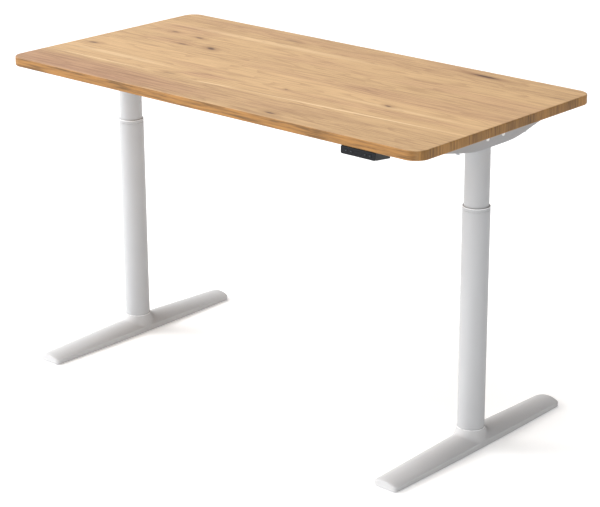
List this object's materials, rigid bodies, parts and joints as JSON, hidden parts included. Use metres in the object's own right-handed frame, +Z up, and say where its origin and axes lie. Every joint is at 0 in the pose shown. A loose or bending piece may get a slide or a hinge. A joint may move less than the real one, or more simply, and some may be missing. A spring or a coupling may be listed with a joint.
{
  "type": "height adjustable standing desk",
  "caption": "Rectangular solid wood top with rounded corners on two round telescopic lifting columns with long crowned feet, side arms and a handset under the front edge.",
  "frame": {"origin": "on the floor, below the middle of the tabletop", "axes": "+X to the right along the long side, +Y to the back, +Z up; the user sits on the -Y side"},
  "size_m": [1.4, 0.7005, 0.865],
  "materials": {
    "oak": "solid wood staves, clear satin oil",
    "white_coat": "white powder coat, satin",
    "cast_coat": "white powder coat on a casting, satin",
    "steel": "zinc plated",
    "bronze": "machined",
    "black_plastic": "matt moulded",
    "gloss_black": "gloss",
    "grey_plastic": "satin moulded",
    "acetal": "low-friction moulded",
    "rubber": "matt"
  },
  "bodies": {
    "left_base": {"left_foot": "cast_coat", "left_base_plate": "steel", "left_outer_tube": "white_coat", "left_collar": "grey_plastic", "left_upper_guide": "acetal", "left_nut_tube": "steel", "left_spindle_nut": "acetal"},
    "top": {"control_box": "black_plastic", "control_box_lid": "black_plastic", "handset_cable": "rubber", "handset_case": "black_plastic", "handset_display": "gloss_black", "handset_fascia": "gloss_black", "left_arm": "white_coat", "left_gearbox_case": "black_plastic", "left_gearbox_cover": "black_plastic", "left_inner_tube": "white_coat", "left_lower_guide": "acetal", "left_motor": "steel", "left_motor_cable": "rubber", "left_spindle_bearing": "steel", "mains_inlet": "black_plastic", "rail_back": "white_coat", "rail_end_left_back": "white_coat", "rail_end_left_front": "white_coat", "rail_end_right_back": "white_coat", "rail_end_right_front": "white_coat", "rail_front": "white_coat", "right_arm": "white_coat", "right_gearbox_case": "black_plastic", "right_gearbox_cover": "black_plastic", "right_inner_tube": "white_coat", "right_lower_guide": "acetal", "right_motor": "steel", "right_motor_cable": "rubber", "right_spindle_bearing": "steel", "tabletop": "oak"},
    "right_base": {"right_foot": "cast_coat", "right_base_plate": "steel", "right_outer_tube": "white_coat", "right_collar": "grey_plastic", "right_upper_guide": "acetal", "right_nut_tube": "steel", "right_spindle_nut": "acetal"},
    "left_front_glide": {"left_glide_front": "rubber"},
    "left_back_glide": {"left_glide_back": "rubber"},
    "left_spindle": {"left_spindle": "steel", "left_worm_wheel": "bronze"},
    "left_worm": {"left_worm_shaft": "steel"},
    "right_front_glide": {"right_glide_front": "rubber"},
    "right_back_glide": {"right_glide_back": "rubber"},
    "right_spindle": {"right_spindle": "steel", "right_worm_wheel": "bronze"},
    "right_worm": {"right_worm_shaft": "steel"},
    "key_up": {"key_up": "gloss_black"},
    "key_down": {"key_down": "gloss_black"},
    "key_memory_1": {"key_memory_1": "gloss_black"},
    "key_memory_2": {"key_memory_2": "gloss_black"}
  },
  "joints": [
    {"name": "lift", "type": "slide", "parent": "left_base", "child": "top", "axis": [0, 0, 1], "range_m": [-0.152, 0.325]},
    {"name": "right_column", "type": "slide", "parent": "top", "child": "right_base", "axis": [0, 0, 1], "range_m": [-0.325, 0.152]},
    {"name": "left_spindle_turn", "type": "hinge", "parent": "top", "child": "left_spindle", "pos_m": [-0.606, 0, 0.5], "axis": [0, 0, 1], "range_deg": [-3421, 7314]},
    {"name": "left_worm_turn", "type": "hinge", "parent": "top", "child": "left_worm", "pos_m": [-0.606, 0.0283, 0.8143], "axis": [1, 0, 0], "range_deg": [-82090, 175510]},
    {"name": "right_spindle_turn", "type": "hinge", "parent": "top", "child": "right_spindle", "pos_m": [0.606, 0, 0.5], "axis": [0, 0, 1], "range_deg": [-3421, 7314]},
    {"name": "right_worm_turn", "type": "hinge", "parent": "top", "child": "right_worm", "pos_m": [0.606, 0.0283, 0.8143], "axis": [1, 0, 0], "range_deg": [-82090, 175510]},
    {"name": "left_front_glide_screw", "type": "slide", "parent": "left_base", "child": "left_front_glide", "axis": [0, 0, -1], "range_m": [0, 0.008]},
    {"name": "left_back_glide_screw", "type": "slide", "parent": "left_base", "child": "left_back_glide", "axis": [0, 0, -1], "range_m": [0, 0.008]},
    {"name": "right_front_glide_screw", "type": "slide", "parent": "right_base", "child": "right_front_glide", "axis": [0, 0, -1], "range_m": [0, 0.008]},
    {"name": "right_back_glide_screw", "type": "slide", "parent": "right_base", "child": "right_back_glide", "axis": [0, 0, -1], "range_m": [0, 0.008]},
    {"name": "key_up_press", "type": "slide", "parent": "top", "child": "key_up", "axis": [0, 1, 0], "range_m": [0, 0.0006], "stiffness_N_per_m": 2000, "springref_m": -0.0004},
    {"name": "key_down_press", "type": "slide", "parent": "top", "child": "key_down", "axis": [0, 1, 0], "range_m": [0, 0.0006], "stiffness_N_per_m": 2000, "springref_m": -0.0004},
    {"name": "key_memory_1_press", "type": "slide", "parent": "top", "child": "key_memory_1", "axis": [0, 1, 0], "range_m": [0, 0.0006], "stiffness_N_per_m": 2000, "springref_m": -0.0004},
    {"name": "key_memory_2_press", "type": "slide", "parent": "top", "child": "key_memory_2", "axis": [0, 1, 0], "range_m": [0, 0.0006], "stiffness_N_per_m": 2000, "springref_m": -0.0004}
  ],
  "couplings": [
    {"joint": "right_column", "follows": "lift", "ratio": -1},
    {"joint": "left_spindle_turn", "follows": "lift", "rad_per_m": 392.7},
    {"joint": "left_worm_turn", "follows": "lift", "rad_per_m": 9424.8},
    {"joint": "right_spindle_turn", "follows": "lift", "rad_per_m": 392.7},
    {"joint": "right_worm_turn", "follows": "lift", "rad_per_m": 9424.8}
  ]
}
